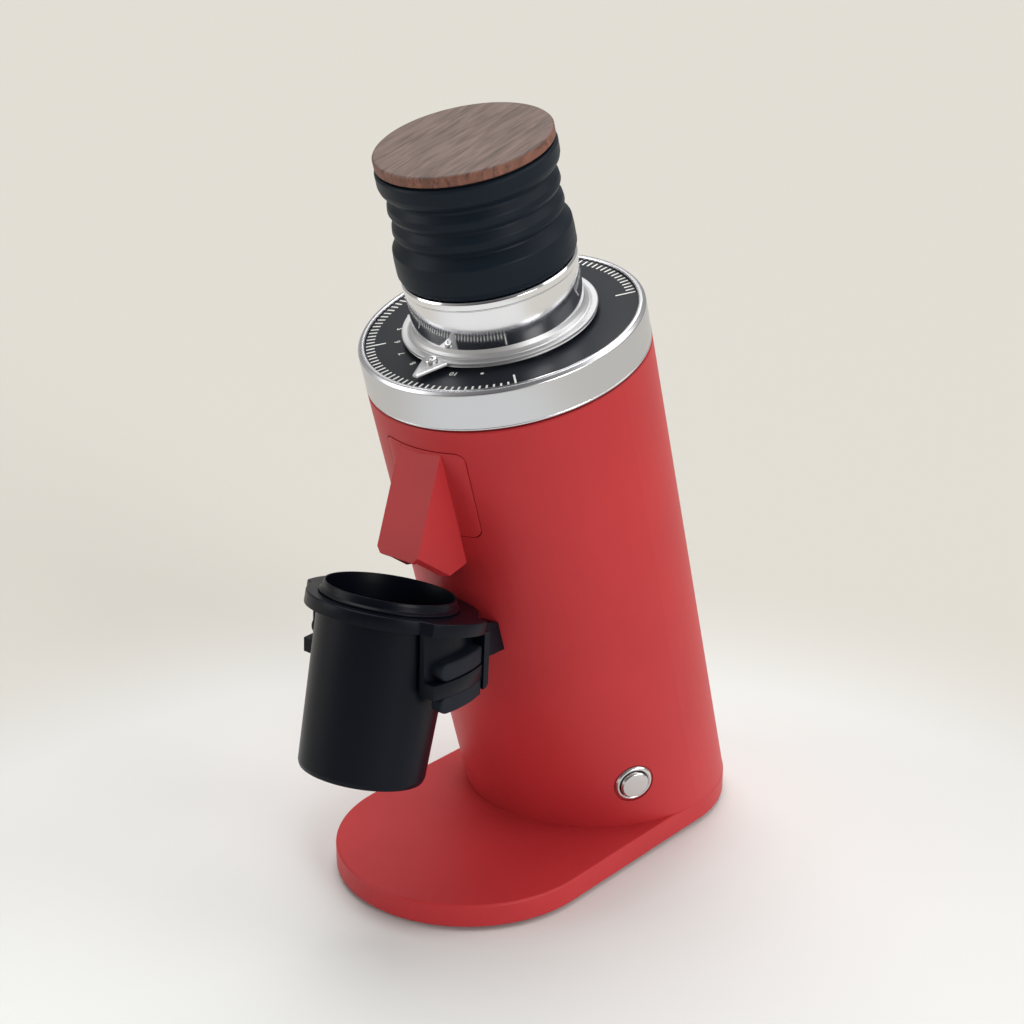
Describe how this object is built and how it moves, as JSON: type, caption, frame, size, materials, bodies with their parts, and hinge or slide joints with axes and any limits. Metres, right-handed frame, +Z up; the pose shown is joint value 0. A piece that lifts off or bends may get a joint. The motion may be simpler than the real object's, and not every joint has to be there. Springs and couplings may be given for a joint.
{
  "type": "burr coffee grinder",
  "caption": "Leaning single-dose burr coffee grinder with stepless dial collar, pressable bellows hopper under a wooden lid, front chute and a dosing cup hung on a fork.",
  "frame": {"origin": "centre of the overall box, on the surface that the rubber feet stand on", "axes": "+Z up, -Y to the front where the cup hangs, X=0 the plane of symmetry of the body, power button on the +X side"},
  "size_m": [0.1252, 0.2518, 0.3418],
  "materials": {
    "red_paint": "satin powder-coat",
    "polished_aluminium": "bright turned and polished",
    "black_anodised": "matte black anodised",
    "dial_black": "satin black with white scale",
    "silicone_black": "matte silicone",
    "black_rubber": "matte moulded rubber",
    "black_plastic": "fine moulded texture",
    "walnut": "oiled, open grain",
    "stainless": "fine brushed",
    "burr_steel": "ground hardened steel",
    "zinc_steel": "bright zinc plated",
    "cast_aluminium": "fine blasted casting",
    "machined_steel": "machined",
    "laminations": "varnished laminations",
    "copper_windings": "enamelled copper",
    "board_green": "solder mask",
    "capacitor_white": "moulded",
    "black_screw": "black oxide"
  },
  "bodies": {
    "housing": {"base_plate": "red_paint", "rubber_feet": "black_rubber", "foot_screws": "zinc_steel", "base_screws": "black_screw", "column_shell": "red_paint", "chute_cover": "red_paint", "declumper_flap": "silicone_black", "grinding_chamber": "cast_aluminium", "chamber_screws": "black_screw", "carrier_springs": "machined_steel", "guide_pins": "machined_steel", "shaft_seal": "black_rubber", "motor_plate": "cast_aluminium", "motor_screws": "zinc_steel", "motor_upper_bell": "cast_aluminium", "motor_can": "cast_aluminium", "motor_lower_bell": "cast_aluminium", "stator_core": "laminations", "stator_windings": "copper_windings", "upper_bearing": "machined_steel", "lower_bearing": "machined_steel", "fork_bracket": "black_anodised", "fork_screws": "black_screw", "fork_upper_pads": "black_rubber", "fork_lower_pads": "black_rubber", "button_bezel": "stainless", "button_nut": "zinc_steel", "button_spring": "machined_steel", "power_inlet": "black_plastic", "inlet_pins": "zinc_steel", "control_board": "board_green", "board_posts": "zinc_steel", "run_capacitor": "capacitor_white"},
    "spindle": {"rotor_shaft": "machined_steel", "rotor_core": "laminations", "cooling_fan": "black_plastic", "lower_burr_carrier": "machined_steel", "lower_burr": "burr_steel", "lower_burr_screws": "zinc_steel", "spindle_nut": "machined_steel"},
    "burr_carrier": {"upper_burr_carrier": "cast_aluminium", "upper_burr": "burr_steel", "upper_burr_screws": "zinc_steel", "hopper_throat": "polished_aluminium", "throat_studs": "zinc_steel", "pointer_ring": "polished_aluminium", "pointer_screw": "stainless", "bellows": "silicone_black"},
    "collar": {"adjusting_collar": "polished_aluminium", "dial_plate": "dial_black"},
    "bellows_top": {"bellows_rim": "silicone_black"},
    "lid": {"lid_plug": "black_rubber", "lid_seal": "silicone_black", "lid_disc": "walnut"},
    "button": {"button_cap": "stainless"},
    "cup": {"dosing_cup": "black_anodised", "cup_ring": "black_anodised"}
  },
  "joints": [
    {"name": "motor_spin", "type": "hinge", "parent": "housing", "child": "spindle", "pos_m": [0, 0.02721, 0.12679], "axis": [0, -0.2803, 0.9599], "continuous": true},
    {"name": "carrier_travel", "type": "slide", "parent": "housing", "child": "burr_carrier", "axis": [0, -0.2803, 0.9599], "range_m": [-0.0002, 0.00095], "deforming": ["carrier_springs"]},
    {"name": "grind_adjust", "type": "hinge", "parent": "burr_carrier", "child": "collar", "pos_m": [0, -0.00643, 0.24198], "axis": [0, -0.2803, 0.9599], "range_deg": [-46, 223]},
    {"name": "bellows_press", "type": "slide", "parent": "burr_carrier", "child": "bellows_top", "axis": [0, 0.2803, -0.9599], "range_m": [0, 0.01], "stiffness_N_per_m": 300, "springref_m": -0.012, "deforming": ["bellows"]},
    {"name": "lid_lift", "type": "slide", "parent": "bellows_top", "child": "lid", "axis": [0, -0.2803, 0.9599], "range_m": [0, 0.04]},
    {"name": "power_button", "type": "slide", "parent": "housing", "child": "button", "axis": [-0.866, 0.48, 0.1402], "range_m": [0, 0.0015], "stiffness_N_per_m": 1500, "springref_m": -0.0008, "deforming": ["button_spring"]},
    {"name": "cup_slide", "type": "slide", "parent": "housing", "child": "cup", "axis": [0, -0.9664, 0.2571], "range_m": [0, 0.06]}
  ],
  "couplings": [
    {"joint": "carrier_travel", "follows": "grind_adjust", "m_per_rad": 0.00023873}
  ]
}
